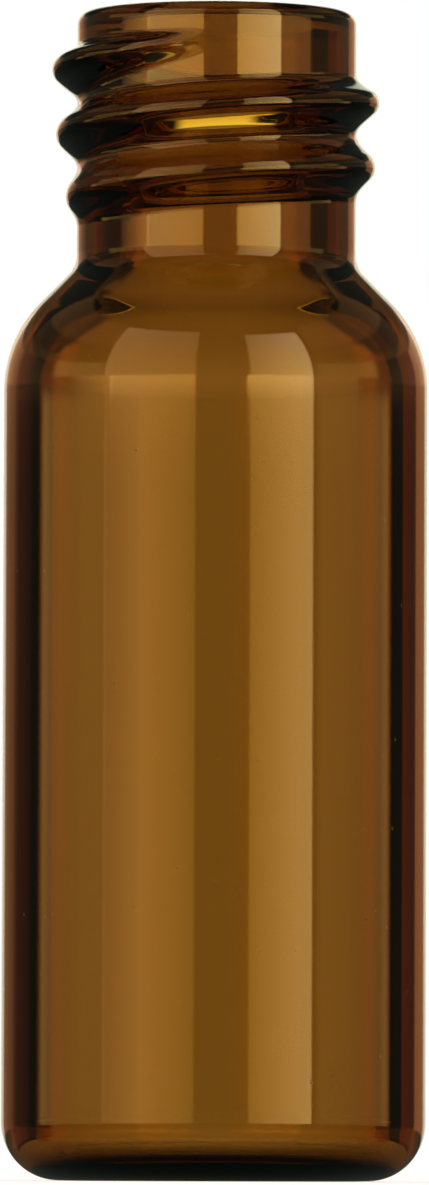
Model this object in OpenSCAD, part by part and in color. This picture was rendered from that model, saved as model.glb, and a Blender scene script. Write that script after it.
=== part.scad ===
// Glass sample vial: a length of glass tube closed at the foot, necked in at
// the shoulder and rolled to a short screw neck. It is one piece of glass, so
// it is one solid: a revolved wall, and the cap thread, a rounded right-hand
// ridge that winds up the neck and sinks into it at each end.
//
// Millimetres. The origin is the middle of the foot, on the surface that the
// vial stands on, and +Z runs up its axis.

/* [Body] */
// Outside diameter of the body
body_d = 11.6; // [10.6:0.1:14]
// Height from the foot to the top of the lip
height = 32; // [28:0.5:45]
// Thickness of the glass round the body and the shoulder
wall = 0.95; // [0.7:0.05:1.2]

/* [Foot] */
// Rounding of the outer bottom corner
heel_r = 1.6; // [1.2:0.1:2]
// Width of the flat ring that the vial stands on
ring_w = 0.5; // [0.3:0.1:0.9]
// Rise of the dished underside at its middle
dish_h = 0.35; // [0.1:0.05:0.5]
// Thickness of the glass over the flat ring
floor_t = 0.8; // [0.6:0.05:1.2]
// Rise of the domed floor inside, from its rim to its middle
dome_h = 0.1; // [0.05:0.05:0.6]
// Rounding of the inner bottom corner
inner_heel_r = 0.6; // [0.4:0.1:1.2]

/* [Shoulder] */
// Radius of the rounded part of the shoulder
shoulder_r = 3.4; // [2.4:0.1:3.8]
// Angle between the axis and the straight slope above it
slope = 45; // [40:1:52]
// Radius of the hollow where the slope meets the neck
neck_fillet_r = 0.8; // [0.4:0.1:1]
// Rounding of the inner edge where the neck opens into the body
throat_r = 0.4; // [0.2:0.05:0.6]

/* [Neck] */
// Outside diameter of the neck
neck_d = 7.65; // [7.2:0.05:8]
// Diameter of the bore through the neck
bore_d = 5.3; // [4.8:0.1:5.7]
// Height of the neck, from the foot of the slope's line to the top of the lip
neck_h = 7; // [6.4:0.1:8]
// Rounding of the lip's outer edge
lip_r = 0.35; // [0.15:0.05:0.45]
// Rounding of the lip's inner edge
lip_inner_r = 0.35; // [0.15:0.05:0.5]

/* [Thread] */
// Diameter over the crest at the thread's upper end
thread_d = 9.08; // [8.8:0.02:9.4]
// Diameter over the crest at the thread's lower end
thread_low_d = 8.56; // [8.4:0.02:9]
// Rise of the thread in one turn
pitch = 1.77; // [1.6:0.01:1.9]
// Turns from one end to the other, run-outs included
turns = 2.36; // [1.5:0.02:2.6]
// Depth of the upper end's crest below the top of the lip
thread_top = 1.17; // [1:0.01:1.4]
// Direction of the upper end, in degrees from +X towards +Y
thread_from = -95; // [-180:5:180]
// Degrees over which the upper end sinks into the neck
runout_top = 85; // [40:5:120]
// Degrees over which the lower end sinks into the neck
runout_low = 100; // [40:5:120]
// Radius of the rounded crest
crest_r = 0.42; // [0.3:0.02:0.5]
// Slope of the thread's flanks, from the neck's surface
flank = 55; // [48:1:60]
// Width of the gentler toe where each flank meets the neck, if the turns leave room
toe_w = 0.16; // [0.06:0.02:0.2]

/* [Hidden] */
$fn = 128;

body_r = body_d / 2;
neck_r = neck_d / 2;
bore_r = bore_d / 2;
cavity_r = body_r - wall;
slope_top = height - neck_h;

// The shoulder's arc turns from upright to the slope's angle. Its centre serves
// the outside and, a wall's thickness smaller, the inside.
arc_x = body_r - shoulder_r;
arc_end_x = arc_x + shoulder_r * cos(slope);
arc_z = slope_top - (arc_end_x - neck_r) / tan(slope) - shoulder_r * sin(slope);

// The rounded inner corner of the foot meets the domed floor in a smooth line.
corner_x = cavity_r - inner_heel_r;
corner_z = floor_t + inner_heel_r;
dome_r = (corner_x * corner_x + dome_h * dome_h) / (2 * dome_h) - inner_heel_r;
dome_z = floor_t + dome_h - dome_r;

// The dish is a shallow cap inside the flat ring.
dish_x = body_r - heel_r - ring_w;
dish_r = (dish_x * dish_x + dish_h * dish_h) / (2 * dish_h);

// Thread: how deep its root lies in the neck's wall, how far its ends sink
// below the neck's surface, the least drop from one edge of its section to the
// next, the least gap between turns, and the steps along it and across its crest.
root_depth = 0.5;
end_depth = 0.06;
least_drop = 0.03;
least_gap = 0.05;
steps_per_turn = 40;
crest_steps = 6;
thread_steps = ceil(turns * steps_per_turn);
thread_deg = turns * 360;

// Centre of the circle that fills or hollows the corner between the slope and
// the upright line x = at_x above it, and where that circle meets the slope.
function hollow_centre(at_x, at_z, r) = [at_x + r, at_z + r * tan(slope / 2)];
function hollow_foot(at_x, at_z, r) =
    [at_x, at_z] + r * tan(slope / 2) * [sin(slope), -cos(slope)];

// The vial's outside, filled. Corners are cut straight, then circles round them.
module outer_outline() {
    hollow = hollow_centre(neck_r, slope_top, neck_fillet_r);
    difference() {
        union() {
            polygon([
                [0, 0],
                [body_r - heel_r, 0],
                [body_r, heel_r],
                [body_r, arc_z],
                [arc_end_x, arc_z + shoulder_r * sin(slope)],
                hollow_foot(neck_r, slope_top, neck_fillet_r),
                hollow,
                [neck_r, hollow[1]],
                [neck_r, height - lip_r],
                [neck_r - lip_r, height],
                [0, height]
            ]);
            translate([body_r - heel_r, heel_r]) circle(heel_r);
            translate([arc_x, arc_z]) circle(shoulder_r);
            translate([neck_r - lip_r, height - lip_r]) circle(lip_r);
        }
        translate(hollow) circle(neck_fillet_r);
    }
}

// The space inside, up past the lip, made the same way.
module cavity_outline() {
    ceiling_r = shoulder_r - wall;
    ceiling_end = [arc_x + ceiling_r * cos(slope), arc_z + ceiling_r * sin(slope)];
    throat_z = ceiling_end[1] + (ceiling_end[0] - bore_r) / tan(slope);
    throat = hollow_centre(bore_r, throat_z, throat_r);
    lip = [bore_r + lip_inner_r, height - lip_inner_r];
    difference() {
        union() {
            polygon([
                [0, dome_z],
                [corner_x, corner_z],
                [cavity_r, corner_z],
                [cavity_r, arc_z],
                ceiling_end,
                hollow_foot(bore_r, throat_z, throat_r),
                throat,
                [bore_r, throat[1]],
                [bore_r, lip[1]],
                lip,
                [lip[0], height + 1],
                [0, height + 1]
            ]);
            translate([corner_x, corner_z]) circle(inner_heel_r);
            translate([arc_x, arc_z]) circle(ceiling_r);
        }
        translate([0, dome_z]) circle(dome_r);
        translate(throat) circle(throat_r);
        translate(lip) circle(lip_inner_r);
    }
}

// Half of an outline, the half right of the axis, turned round the axis.
module turned() {
    rotate_extrude()
        intersection() {
            children();
            translate([0, -1]) square([body_r + 1, height + 3]);
        }
}

// Share of its full height that the thread has at a run-out's far end, x = 0, to
// its near end, x = 1: it rises out of the neck quickly and then levels off.
function risen(x) = sin(90 * min(max(x, 0), 1));

// Height of the crest over the neck, at an angle along the thread from its lower end.
function crest_h(deg) =
    let (
        along = deg / thread_deg,
        full = ((1 - along) * thread_low_d + along * thread_d) / 2 - neck_r,
        share = min(risen(deg / runout_low), risen((thread_deg - deg) / runout_top))
    )
    (full + end_depth) * share - end_depth;

// One side of the thread's section below its crest, as [distance from the axis,
// distance from the middle of the crest]: the flank, the toe that meets the neck,
// and the edge of the root inside the neck's wall.
function thread_side(h) =
    let (
        side_r = neck_r + h - crest_r * (1 - cos(flank)),
        knee_r = min(neck_r + toe_w * tan(flank / 2), side_r - least_drop),
        foot_r = min(neck_r, knee_r) - least_drop,
        knee_w = crest_r * sin(flank) + (side_r - knee_r) / tan(flank),
        toe_end_w = knee_w + (knee_r - foot_r) / tan(flank / 2),
        foot_w = min(toe_end_w, (pitch - least_gap) / 2)
    )
    [[knee_r, knee_w], [foot_r, foot_w], [neck_r - root_depth, foot_w]];

// The whole section, from the lower side of the root over the crest to the upper.
function thread_section(h) =
    let (side = thread_side(h))
    concat(
        [for (i = [2:-1:0]) [side[i][0], -side[i][1]]],
        [for (i = [0:crest_steps])
            let (a = flank * (2 * i / crest_steps - 1))
            [neck_r + h - crest_r * (1 - cos(a)), crest_r * sin(a)]],
        side
    );

module thread() {
    sides = len(thread_section(0));
    low_z = height - thread_top - turns * pitch;
    points = [
        for (k = [0:thread_steps])
            let (
                deg = k * thread_deg / thread_steps,
                at = thread_from - thread_deg + deg
            )
            for (p = thread_section(crest_h(deg)))
                [p[0] * cos(at), p[0] * sin(at), low_z + pitch * deg / 360 + p[1]]
    ];
    skin = [
        for (k = [0:thread_steps - 1], i = [0:sides - 1])
            let (
                a = k * sides + i,
                b = k * sides + (i + 1) % sides
            )
            each [[a, b, a + sides], [b, b + sides, a + sides]]
    ];
    low_end = [for (i = [sides - 1:-1:0]) i];
    high_end = [for (i = [0:sides - 1]) thread_steps * sides + i];
    polyhedron(points, concat([low_end], skin, [high_end]), convexity = 6);
}

module vial() {
    color([0.45, 0.24, 0.05])
        difference() {
            union() {
                turned() outer_outline();
                thread();
            }
            turned() cavity_outline();
            translate([0, 0, dish_h - dish_r]) sphere(dish_r);
        }
}

vial();
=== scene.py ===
"""Looks of the glass sample vial: one piece of amber glass that replaces the
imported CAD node, on a pale floor in soft studio light.

Sizes are millimetres in the frame of part.scad, and turn into metres where a mesh
or an object is made.
"""

import math

import bpy
import numpy as np
from mathutils import Matrix, Vector


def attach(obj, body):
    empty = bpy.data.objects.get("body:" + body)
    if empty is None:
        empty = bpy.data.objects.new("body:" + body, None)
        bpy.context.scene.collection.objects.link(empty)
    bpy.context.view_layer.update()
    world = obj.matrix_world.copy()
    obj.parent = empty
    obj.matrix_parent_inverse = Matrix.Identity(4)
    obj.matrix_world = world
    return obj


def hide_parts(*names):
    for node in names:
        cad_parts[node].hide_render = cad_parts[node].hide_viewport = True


MM = 0.001

# --- The vial's sizes, as in part.scad -------------------------------------
BODY_R = 5.8
HEIGHT = 32.0
WALL = 0.95
HEEL_R = 1.6
RING_W = 0.5
DISH_H = 0.35
FLOOR_T = 0.8
DOME_H = 0.1
INNER_HEEL_R = 0.6
SHOULDER_R = 3.4
SLOPE = math.radians(45)
NECK_FILLET_R = 0.8
NECK_R = 3.825
BORE_R = 2.65
NECK_H = 7.0
LIP_R = 0.35
THREAD_R = 4.54
THREAD_LOW_R = 4.28
PITCH = 1.77
TURNS = 2.36
THREAD_TOP = 1.17
THREAD_FROM = -95.0
RUNOUT_TOP = 85.0
RUNOUT_LOW = 100.0
END_DEPTH = 0.06

# --- Soft forms that only the dressed mesh has -------------------------------
# The throat and the lip's inner edge are rounder than in part.scad.
THROAT_R = 1.5
LIP_INNER_R = 0.6
# The outline stops this far short of the dish's edge and of the two ends of the ring
# that the vial stands on, so that smooth shading rounds them.
DISH_EASE = 0.1
RING_EASE_IN = 0.12
RING_EASE_OUT = 0.06
# The thread's section changes from its lower end to its upper: the slopes of the
# flanks above and below the crest, and the crest's radius. Each flank runs into
# the neck in a fillet, whose size is the height over which it blends.
FLANK_UP = (46.0, 70.0)
FLANK_LOW = (42.0, 52.0)
CREST_R = (0.54, 0.34)
BLEND_UP = 0.4
BLEND_LOW = 0.22
# Degrees over which the fillets fade out at each end of the thread.
END_FADE = 20.0

# --- Mesh density: the points in each ring, and the rings that each form has ---
SIDES = 192
NECK_RINGS = 140
WALL_RINGS = 30
BORE_RINGS = 16
SLOPE_RINGS = 5
LAND_RINGS = 2
DOME_RINGS = 14
OUTER_ARC_RINGS = 26
CEILING_RINGS = 20
CORNER_RINGS = 24
EDGE_RINGS = 12
THROAT_RINGS = 10


def arc(centre, radius, start, end, count):
    """Points on a circle in the profile plane, between two angles in degrees."""
    a = np.radians(np.linspace(start, end, count))
    return np.column_stack(
        [centre[0] + radius * np.cos(a), centre[1] + radius * np.sin(a)]
    )


def line(a, b, count):
    """Points strictly between a and b."""
    t = np.linspace(0, 1, count + 2)[1:-1, None]
    return np.array(a) * (1 - t) + np.array(b) * t


def risen(x):
    """Share of its full height that the thread has, at a share of its run-out."""
    return np.sin(np.pi / 2 * np.clip(x, 0, 1))


def thread_side(offset, height, flank, crest_r, blend):
    """Height over the neck of one side of the thread's section, at an axial
    distance from its crest."""
    side_w = crest_r * np.sin(flank)
    rounded = height - crest_r + np.sqrt(np.maximum(crest_r**2 - offset**2, 0))
    knee = height - crest_r * (1 - np.cos(flank))
    straight = knee - (offset - side_w) * np.tan(flank)
    side = np.where(offset < side_w, rounded, straight)
    fillet = np.maximum(blend - np.abs(side), 0) ** 2 / (4 * blend)
    return np.maximum(side, 0) + fillet


def neck_surface(angle, z):
    """Radius of the outside of the neck at an angle in degrees and a height: the
    plain neck, and the ridge of the thread where it passes."""
    length = TURNS * 360
    low_z = HEIGHT - THREAD_TOP - TURNS * PITCH
    first = np.mod(angle - (THREAD_FROM - length), 360)
    radius = np.full(np.broadcast(angle, z).shape, NECK_R)
    for turn in range(int(TURNS) + 1):
        deg = first + 360 * turn
        along = np.clip(deg / length, 0, 1)
        full = (1 - along) * THREAD_LOW_R + along * THREAD_R - NECK_R
        share = np.minimum(risen(deg / RUNOUT_LOW), risen((length - deg) / RUNOUT_TOP))
        height = (full + END_DEPTH) * share - END_DEPTH
        offset = z - (low_z + PITCH * deg / 360)
        crest_r = (1 - along) * CREST_R[0] + along * CREST_R[1]
        up = np.radians((1 - along) * FLANK_UP[0] + along * FLANK_UP[1])
        low = np.radians((1 - along) * FLANK_LOW[0] + along * FLANK_LOW[1])
        ridge = np.where(
            offset > 0,
            thread_side(np.abs(offset), height, up, crest_r, BLEND_UP),
            thread_side(np.abs(offset), height, low, crest_r, BLEND_LOW),
        )
        fade = np.clip(np.minimum(deg, length - deg) / END_FADE, 0, 1)
        radius += ridge * fade
    return radius


def vial_profile():
    """The closed outline of the glass from the middle of the underside, up the
    outside, over the lip and down the inside to the middle of the floor. Returns
    the points and which of them lie on the neck's outside."""
    arc_x = BODY_R - SHOULDER_R
    slope_top = HEIGHT - NECK_H
    arc_end_x = arc_x + SHOULDER_R * math.cos(SLOPE)
    arc_z = (
        slope_top
        - (arc_end_x - NECK_R) / math.tan(SLOPE)
        - SHOULDER_R * math.sin(SLOPE)
    )
    slope_deg = math.degrees(SLOPE)
    tan_half = math.tan(SLOPE / 2)

    # Underside: the dish, the ring that the vial stands on, the rounded heel.
    dish_x = BODY_R - HEEL_R - RING_W
    dish_r = (dish_x**2 + DISH_H**2) / (2 * DISH_H)
    x = np.linspace(0, dish_x - DISH_EASE, DOME_RINGS)
    dish = np.column_stack([x, DISH_H - dish_r + np.sqrt(dish_r**2 - x**2)])
    ring_ends = (dish_x + RING_EASE_IN, dish_x + RING_W - RING_EASE_OUT)
    ring = np.array([[end, 0.0] for end in ring_ends])
    heel = arc((BODY_R - HEEL_R, HEEL_R), HEEL_R, -90, 0, OUTER_ARC_RINGS)

    # Body and shoulder.
    wall = line((BODY_R, HEEL_R), (BODY_R, arc_z), WALL_RINGS)
    shoulder = arc((arc_x, arc_z), SHOULDER_R, 0, slope_deg, OUTER_ARC_RINGS)
    fillet = arc(
        (NECK_R + NECK_FILLET_R, slope_top + NECK_FILLET_R * tan_half),
        NECK_FILLET_R,
        180 + slope_deg,
        180,
        EDGE_RINGS,
    )
    slope = line(shoulder[-1], fillet[0], SLOPE_RINGS)

    # Neck and lip.
    lip = arc((NECK_R - LIP_R, HEIGHT - LIP_R), LIP_R, 0, 90, EDGE_RINGS)
    neck = line(fillet[-1], lip[0], NECK_RINGS)
    inner_centre = (BORE_R + LIP_INNER_R, HEIGHT - LIP_INNER_R)
    inner_lip = arc(inner_centre, LIP_INNER_R, 90, 180, EDGE_RINGS)
    land = line(lip[-1], inner_lip[0], LAND_RINGS)

    # Inside: bore, throat, shoulder, wall, rounded corner, domed floor.
    ceiling_r = SHOULDER_R - WALL
    ceiling = arc((arc_x, arc_z), ceiling_r, slope_deg, 0, CEILING_RINGS)
    throat_z = ceiling[0][1] + (ceiling[0][0] - BORE_R) / math.tan(SLOPE)
    throat = arc(
        (BORE_R + THROAT_R, throat_z + THROAT_R * tan_half),
        THROAT_R,
        180,
        180 + slope_deg,
        THROAT_RINGS,
    )
    bore = line(inner_lip[-1], throat[0], BORE_RINGS)
    under_slope = line(throat[-1], ceiling[0], SLOPE_RINGS)
    corner = (BODY_R - WALL - INNER_HEEL_R, FLOOR_T + INNER_HEEL_R)
    dome_r = (corner[0] ** 2 + DOME_H**2) / (2 * DOME_H) - INNER_HEEL_R
    dome_z = FLOOR_T + DOME_H - dome_r
    meet = math.atan2(dome_z - corner[1], -corner[0])
    inner_heel = arc(corner, INNER_HEEL_R, 0, math.degrees(meet), CORNER_RINGS)
    inner_wall = line(ceiling[-1], inner_heel[0], WALL_RINGS)
    x = np.linspace(inner_heel[-1][0], 0, DOME_RINGS)[1:]
    dome = np.column_stack([x, dome_z + np.sqrt(dome_r**2 - x**2)])

    before = [dish, ring, heel, wall, shoulder, slope, fillet]
    after = [lip, land, inner_lip, bore, throat, under_slope, ceiling]
    after += [inner_wall, inner_heel, dome]
    points = np.concatenate(before + [neck] + after)
    first = sum(len(part) for part in before)
    on_neck = np.zeros(len(points), bool)
    on_neck[first : first + len(neck)] = True
    return points, on_neck


def turned_mesh(name, points, on_neck):
    """A closed mesh of the outline turned round the axis. Its first and last
    points lie on the axis, and the neck's rings follow the thread."""
    angle = np.arange(SIDES) * 360 / SIDES
    rings = points[1:-1]
    radius = np.repeat(rings[:, 0][:, None], SIDES, 1)
    neck = on_neck[1:-1]
    radius[neck] = neck_surface(angle[None, :], rings[neck][:, 1][:, None])
    a = np.radians(angle)
    height = np.repeat(rings[:, 1][:, None], SIDES, 1)
    grid = np.stack([radius * np.cos(a), radius * np.sin(a), height], 2)
    co = np.concatenate(
        [[[0, 0, points[0][1]]], grid.reshape(-1, 3), [[0, 0, points[-1][1]]]]
    )
    faces = []
    last = 1 + len(rings) * SIDES
    for i in range(SIDES):
        j = (i + 1) % SIDES
        faces.append((0, 1 + j, 1 + i))
        faces.append((last, last - SIDES + i, last - SIDES + j))
        for row in range(len(rings) - 1):
            low = 1 + row * SIDES
            faces.append((low + i, low + j, low + SIDES + j, low + SIDES + i))
    mesh = bpy.data.meshes.new(name)
    mesh.from_pydata((co * MM).tolist(), [], faces)
    mesh.shade_smooth()
    mesh.validate()
    return mesh


def add_node(tree, kind, inputs=(), **settings):
    """A node with its settings, and its inputs set or linked by name or number."""
    made = tree.nodes.new(kind)
    for key, value in settings.items():
        setattr(made, key, value)
    for key, value in dict(inputs).items():
        if isinstance(value, bpy.types.NodeSocket):
            tree.links.new(value, made.inputs[key])
        else:
            made.inputs[key].default_value = value
    return made


def math_node(tree, operation, *values):
    """The result of a sum on values or sockets."""
    return add_node(
        tree, "ShaderNodeMath", dict(enumerate(values)), operation=operation
    ).outputs[0]


# --- The glass ----------------------------------------------------------------
# Its refraction, its tint, and the absorption for each metre of glass.
IOR = 1.5
TINT = (0.671, 0.496, 0.036, 1)
TINT_DENSITY = 2800.0
# Waves of drawn tube: how many to a metre across and along, and their height in
# metres. They are a few millimetres wide, centimetres long and microns high.
WAVE_SCALE = (230.0, 230.0, 22.0)
WAVE_HEIGHT = 0.000012
# Specks: how many cells there are to a metre and the share of them that holds one,
# a speck's radius as a share of its cell, the share of that radius which is at full
# strength, and how rough it is there.
SPECK_SCALE = 900.0
SPECK_SHARE = 0.4
SPECK_R = 0.06
SPECK_CORE = 0.6
SPECK_ROUGHNESS = 0.35


def amber_glass():
    """Clear glass tinted through its thickness, with the slight waves of drawn
    tube on its surface and a few fine specks."""
    material = bpy.data.materials.new("amber_glass")
    material.use_nodes = True
    tree = material.node_tree
    tree.nodes.clear()
    out = add_node(tree, "ShaderNodeOutputMaterial")
    place = add_node(tree, "ShaderNodeTexCoord").outputs["Object"]
    drawn = add_node(tree, "ShaderNodeMapping", {0: place, "Scale": WAVE_SCALE})
    waves = add_node(
        tree, "ShaderNodeTexNoise", {0: drawn.outputs[0], "Scale": 1.0, "Detail": 1.0}
    )
    bump = add_node(
        tree,
        "ShaderNodeBump",
        {"Strength": 1.0, "Distance": WAVE_HEIGHT, "Height": waves.outputs[0]},
    )
    cells = add_node(tree, "ShaderNodeTexVoronoi", {0: place, "Scale": SPECK_SCALE})
    near = add_node(
        tree,
        "ShaderNodeMapRange",
        {
            "Value": cells.outputs["Distance"],
            "From Min": SPECK_R,
            "From Max": SPECK_CORE * SPECK_R,
        },
    )
    draw = add_node(tree, "ShaderNodeSeparateColor", {0: cells.outputs["Color"]})
    chosen = math_node(tree, "LESS_THAN", draw.outputs[0], SPECK_SHARE)
    speck = math_node(tree, "MULTIPLY", near.outputs[0], chosen)
    shader = add_node(
        tree,
        "ShaderNodeBsdfPrincipled",
        {
            "Base Color": (1, 1, 1, 1),
            "Roughness": math_node(tree, "MULTIPLY", speck, SPECK_ROUGHNESS),
            "IOR": IOR,
            "Normal": bump.outputs[0],
            "Transmission Weight": 1.0,
        },
    )
    tree.links.new(shader.outputs[0], out.inputs["Surface"])
    tint = add_node(
        tree, "ShaderNodeVolumeAbsorption", {"Color": TINT, "Density": TINT_DENSITY}
    )
    tree.links.new(tint.outputs[0], out.inputs["Volume"])
    return material


# --- The studio --------------------------------------------------------------
def light(azimuths, elevations, bottom, top=None, soft_az=1, soft_el=0.9):
    """One of the studio's lights, in degrees: azimuth 0 is behind the vial and 90 on
    its right. Its sides, and its top and bottom, are soft over the last two numbers.
    The colour at its bottom, and at its top if that differs, is one colour or two,
    at the first azimuth and at the second."""
    edges = [
        edge if isinstance(edge[0], tuple) else (edge, edge)
        for edge in (bottom, top or bottom)
    ]
    return azimuths, elevations, soft_az, soft_el, *edges


# Elevations that the upright glass of the body mirrors and lets through, and the
# ones that the neck does.
AT_BODY = (-4, 4.1)
AT_NECK = (4.1, 6.4)
# The low cards end just below the neck's elevations.
CARD = (-4, 3.95)
CARD_SOFT = {"soft_az": 3, "soft_el": 0.5}

STRIP_COLOUR = (3.8, 4.5, 2.2)
RIM_COLOURS = ((0.85, 0.65, 0.45), (1.9, 1.35, 1.0))
LIGHTS = [
    # the backdrop
    light((-13, 13), AT_BODY, (1.0, 0.97, 0.72), soft_az=2),
    light((-13, 13), (4.1, 8), (1.05, 1.0, 0.8), (0.96, 0.93, 0.73), soft_az=2),
    light((-13, 13), (8, 31), (0.98, 0.95, 0.72), (0.9, 0.9, 0.75), soft_az=2),
    # the bright strip over it, which shows in the thread's lower flank
    light((-10, 10), (31.6, 33), STRIP_COLOUR, soft_az=2, soft_el=0.6),
    light((-4, 4), (33, 34.4), STRIP_COLOUR, soft_az=2, soft_el=0.6),
    # the backdrop's rims and the glow beside them
    light((-20, -13), (-4, 16), *RIM_COLOURS, soft_az=2, soft_el=2),
    light((13, 20), (-4, 16), *RIM_COLOURS, soft_az=2, soft_el=2),
    light((-44, -20), AT_BODY, ((0.08, 0.03, 0.01), (0.38, 0.17, 0.07)), soft_az=2),
    light(
        (-44, -20),
        (4.1, 15),
        ((0.0, 0.0, 0.0), (0.95, 0.4, 0.18)),
        ((0.05, 0.02, 0.01), (1.0, 0.5, 0.25)),
        soft_az=2,
    ),
    light((20, 38.6), AT_BODY, ((0.4, 0.17, 0.07), (0.62, 0.22, 0.06)), soft_az=1.5),
    light(
        (20, 39),
        (4.1, 15),
        ((0.95, 0.4, 0.18), (0.5, 0.2, 0.08)),
        ((1.1, 0.55, 0.3), (0.65, 0.32, 0.18)),
        soft_az=1.5,
    ),
    # low cards at the sides
    light(
        (-84, -71.2),
        CARD,
        ((0.75, 0.45, 0.1), (1.6, 0.8, 0.18)),
        ((1.1, 0.7, 0.15), (2.4, 1.2, 0.27)),
        **CARD_SOFT,
    ),
    light(
        (71.2, 84),
        CARD,
        ((1.6, 0.8, 0.18), (0.6, 0.35, 0.08)),
        ((2.4, 1.2, 0.27), (0.9, 0.55, 0.13)),
        **CARD_SOFT,
    ),
    light((-118, -84), CARD, (0.75, 0.45, 0.1), (1.15, 0.7, 0.15), **CARD_SOFT),
    light((84, 122), CARD, (0.6, 0.35, 0.08), (0.9, 0.55, 0.13), **CARD_SOFT),
    # higher cards at the sides, which the shoulder mirrors
    light((-117, -80), (6.4, 16), (1.1, 0.7, 0.15), (1.1, 0.65, 0.13), soft_az=3),
    light((80, 122), (6.4, 16), (0.95, 0.6, 0.14), (0.9, 0.55, 0.12), soft_az=3),
    light((-118, -44), (16, 30), (0.14, 0.06, 0.02), (0.16, 0.07, 0.02), soft_az=3),
    light((40, 122), (16, 30), (0.2, 0.09, 0.03), soft_az=3),
    light((-118, -44), (30, 48), (0.45, 0.2, 0.06), (0.4, 0.17, 0.05), soft_az=3),
    light((40, 122), (30, 48), (0.5, 0.22, 0.07), (0.4, 0.17, 0.05), soft_az=3),
    # what the sides of the neck mirror
    light((-122, -95), AT_NECK, ((4.3, 2.2, 0.45), (0.3, 0.2, 0.1))),
    light((96, 125), AT_NECK, (1.15, 0.62, 0.15)),
    # the soft box in front on the left
    light((-169, -138), AT_BODY, ((1.4, 0.8, 0.11), (2.95, 1.62, 0.37))),
    light((-138, -117), AT_BODY, ((2.95, 1.52, 0.37), (1.6, 0.72, 0.19))),
    light((-169, -121), AT_NECK, ((4.9, 2.5, 0.5), (6.1, 3.4, 0.95))),
    light(
        (-169, -117),
        (6.4, 46),
        ((1.8, 0.95, 0.18), (3.2, 1.7, 0.48)),
        ((1.5, 0.8, 0.35), (2.6, 1.4, 0.6)),
    ),
    # the soft box in front on the right
    light((125.5, 161.4), AT_BODY, ((5.9, 3.7, 1.1), (2.1, 1.2, 0.15))),
    light((125.5, 163.2), AT_NECK, ((9.7, 6.5, 2.3), (6.1, 3.6, 0.75))),
    light(
        (125.5, 161.4),
        (6.4, 43),
        ((7.2, 4.8, 1.5), (2.6, 1.6, 0.35)),
        ((4.4, 3.0, 1.6), (1.9, 1.25, 0.5)),
    ),
    # the room, just above the height of the body's lights
    light((-181, 181), (4.1, 20), (0.16, 0.11, 0.05), (0.05, 0.05, 0.02)),
]
# What glass sees where no light is, what lights the floor, what the camera sees
# behind the vial, and the floor's own colour.
GLOW = (0.04, 0.05, 0.04)
SKY = (1.18, 1.18, 1.3)
BACKDROP = (1.0, 1.0, 1.0)
FLOOR_WHITE = (0.85, 0.85, 0.85)
# Half of the floor's width, in metres.
FLOOR_REACH = 3.0


def soft_range(tree, value, low, high, soft):
    """1 inside a range, 0 outside, with soft ends."""
    ends = [
        add_node(
            tree,
            "ShaderNodeMapRange",
            {
                "Value": value,
                "From Min": at - soft,
                "From Max": at + soft,
                "To Min": start,
                "To Max": 1.0 - start,
            },
            interpolation_type="SMOOTHSTEP",
        ).outputs[0]
        for at, start in ((low, 0.0), (high, 1.0))
    ]
    return math_node(tree, "MULTIPLY", *ends)


def share_between(tree, value, low, high):
    """How far a value lies from one end of a range to the other, from 0 to 1."""
    ends = {"Value": value, "From Min": low, "From Max": high}
    return add_node(tree, "ShaderNodeMapRange", ends).outputs[0]


def mixed(tree, factor, first, second):
    """A colour between two, which are colours or sockets. Inputs 6 and 7 and output 2
    are the mix node's colours."""
    mix = add_node(tree, "ShaderNodeMix", {0: factor}, data_type="RGBA")
    for socket, colour in ((mix.inputs[6], first), (mix.inputs[7], second)):
        if isinstance(colour, bpy.types.NodeSocket):
            tree.links.new(colour, socket)
        else:
            socket.default_value = (*colour, 1)
    return mix.outputs[2]


def studio(scene):
    """The light round the vial. Glass sees the lights in their places. The floor
    is lit by an even pale sky, and the camera sees a white backdrop."""
    world = bpy.data.worlds.new("studio")
    scene.world = world
    world.use_nodes = True
    tree = world.node_tree
    tree.nodes.clear()
    way = add_node(tree, "ShaderNodeTexCoord").outputs["Generated"]
    x, y, z = add_node(tree, "ShaderNodeSeparateXYZ", {0: way}).outputs
    around = math_node(tree, "DEGREES", math_node(tree, "ARCTAN2", x, y))
    up = math_node(tree, "DEGREES", math_node(tree, "ARCSINE", z))

    total = GLOW
    for azimuths, elevations, soft_az, soft_el, bottom, top in LIGHTS:
        across = share_between(tree, around, *azimuths)
        rise = share_between(tree, up, *elevations)
        colour = mixed(
            tree, rise, mixed(tree, across, *bottom), mixed(tree, across, *top)
        )
        mask = math_node(
            tree,
            "MULTIPLY",
            soft_range(tree, around, *azimuths, soft_az),
            soft_range(tree, up, *elevations, soft_el),
        )
        lit = add_node(
            tree, "ShaderNodeVectorMath", {0: colour, "Scale": mask}, operation="SCALE"
        )
        total = add_node(
            tree, "ShaderNodeVectorMath", {0: lit.outputs[0], 1: total}
        ).outputs[0]

    path = add_node(tree, "ShaderNodeLightPath").outputs
    total = mixed(tree, path["Is Diffuse Ray"], total, SKY)
    total = mixed(tree, path["Is Camera Ray"], total, BACKDROP)
    back = add_node(tree, "ShaderNodeBackground", {"Color": total})
    out = add_node(tree, "ShaderNodeOutputWorld")
    tree.links.new(back.outputs[0], out.inputs["Surface"])


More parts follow.
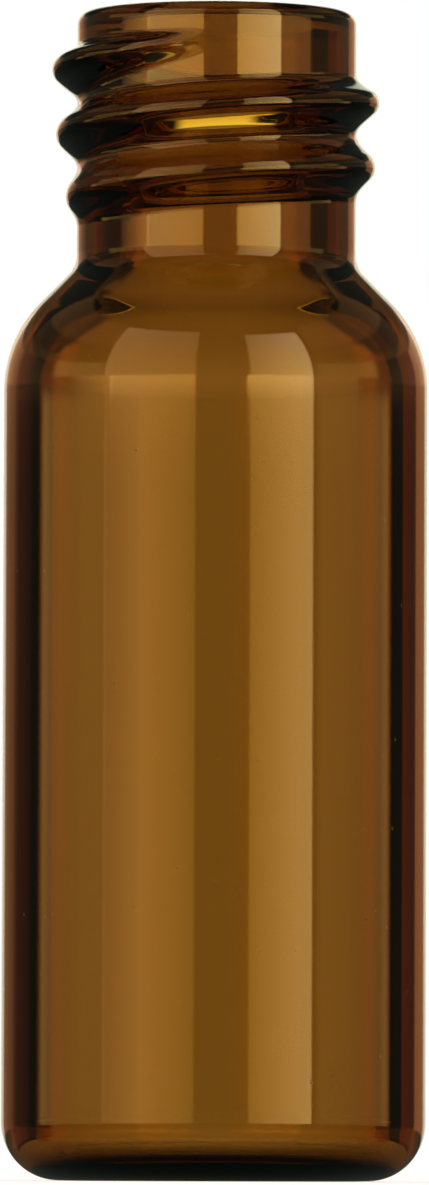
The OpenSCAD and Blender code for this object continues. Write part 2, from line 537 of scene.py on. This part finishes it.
def pale_floor():
    """A wide matt floor, which the glass doesn't mirror."""
    mesh = bpy.data.meshes.new("floor")
    signs = ((-1, -1), (1, -1), (1, 1), (-1, 1))
    corners = [(x * FLOOR_REACH, y * FLOOR_REACH, 0) for x, y in signs]
    mesh.from_pydata(corners, [], [(0, 1, 2, 3)])
    floor = bpy.data.objects.new("floor", mesh)
    bpy.context.scene.collection.objects.link(floor)
    material = bpy.data.materials.new("floor")
    material.use_nodes = True
    shader = material.node_tree.nodes["Principled BSDF"]
    shader.inputs["Base Color"].default_value = (*FLOOR_WHITE, 1)
    shader.inputs["Roughness"].default_value = 1.0
    shader.inputs["Specular IOR Level"].default_value = 0.0
    mesh.materials.append(material)
    floor.visible_glossy = False


# --- The camera ---------------------------------------------------------------
# The photograph, 1185 pixels high, shows the vial from about the height of its foot,
# at 36.55 pixels to a millimetre.
PIXELS_PER_MM = 36.55
FRAME_H = 1185
SENSOR_W = 36.0
CLIP = (0.01, 20)
EYE_DISTANCE = 328.0
EYE_HEIGHT = 0.25
AIM = (-0.015, 0.0, 16.09)
ROLL = math.radians(0.2)


def photo_camera(scene):
    """The scene's camera, at the photograph's angle and scale."""
    data = bpy.data.cameras.new("camera")
    camera = bpy.data.objects.new("camera", data)
    scene.collection.objects.link(camera)
    eye = Vector((AIM[0], -EYE_DISTANCE, EYE_HEIGHT)) * MM
    aim = Vector(AIM) * MM
    way = aim - eye
    turn = way.to_track_quat("-Z", "Y").to_matrix().to_4x4()
    roll = Matrix.Rotation(ROLL, 4, "Z")
    camera.matrix_world = Matrix.Translation(eye) @ turn @ roll
    data.sensor_width = SENSOR_W
    data.lens = SENSOR_W * way.length / MM * PIXELS_PER_MM / FRAME_H
    data.clip_start, data.clip_end = CLIP
    scene.camera = camera


# --- The scene ----------------------------------------------------------------
# Bounces of light through the glass, and off it.
THROUGH_BOUNCES = 32
MIRROR_BOUNCES = 16

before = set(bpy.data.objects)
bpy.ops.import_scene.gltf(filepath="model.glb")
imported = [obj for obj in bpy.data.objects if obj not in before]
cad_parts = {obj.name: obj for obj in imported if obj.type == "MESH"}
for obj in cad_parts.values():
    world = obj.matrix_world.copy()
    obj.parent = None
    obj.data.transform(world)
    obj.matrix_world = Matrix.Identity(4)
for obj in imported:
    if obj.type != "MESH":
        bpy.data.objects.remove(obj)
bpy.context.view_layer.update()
scene = bpy.context.scene

glass = bpy.data.objects.new("vial_glass", turned_mesh("vial_glass", *vial_profile()))
scene.collection.objects.link(glass)
glass.data.materials.append(amber_glass())
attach(glass, "root")
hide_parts("vial")

studio(scene)
pale_floor()
photo_camera(scene)

scene.view_settings.view_transform = "Standard"
scene.cycles.max_bounces = THROUGH_BOUNCES
scene.cycles.transmission_bounces = THROUGH_BOUNCES
scene.cycles.glossy_bounces = MIRROR_BOUNCES
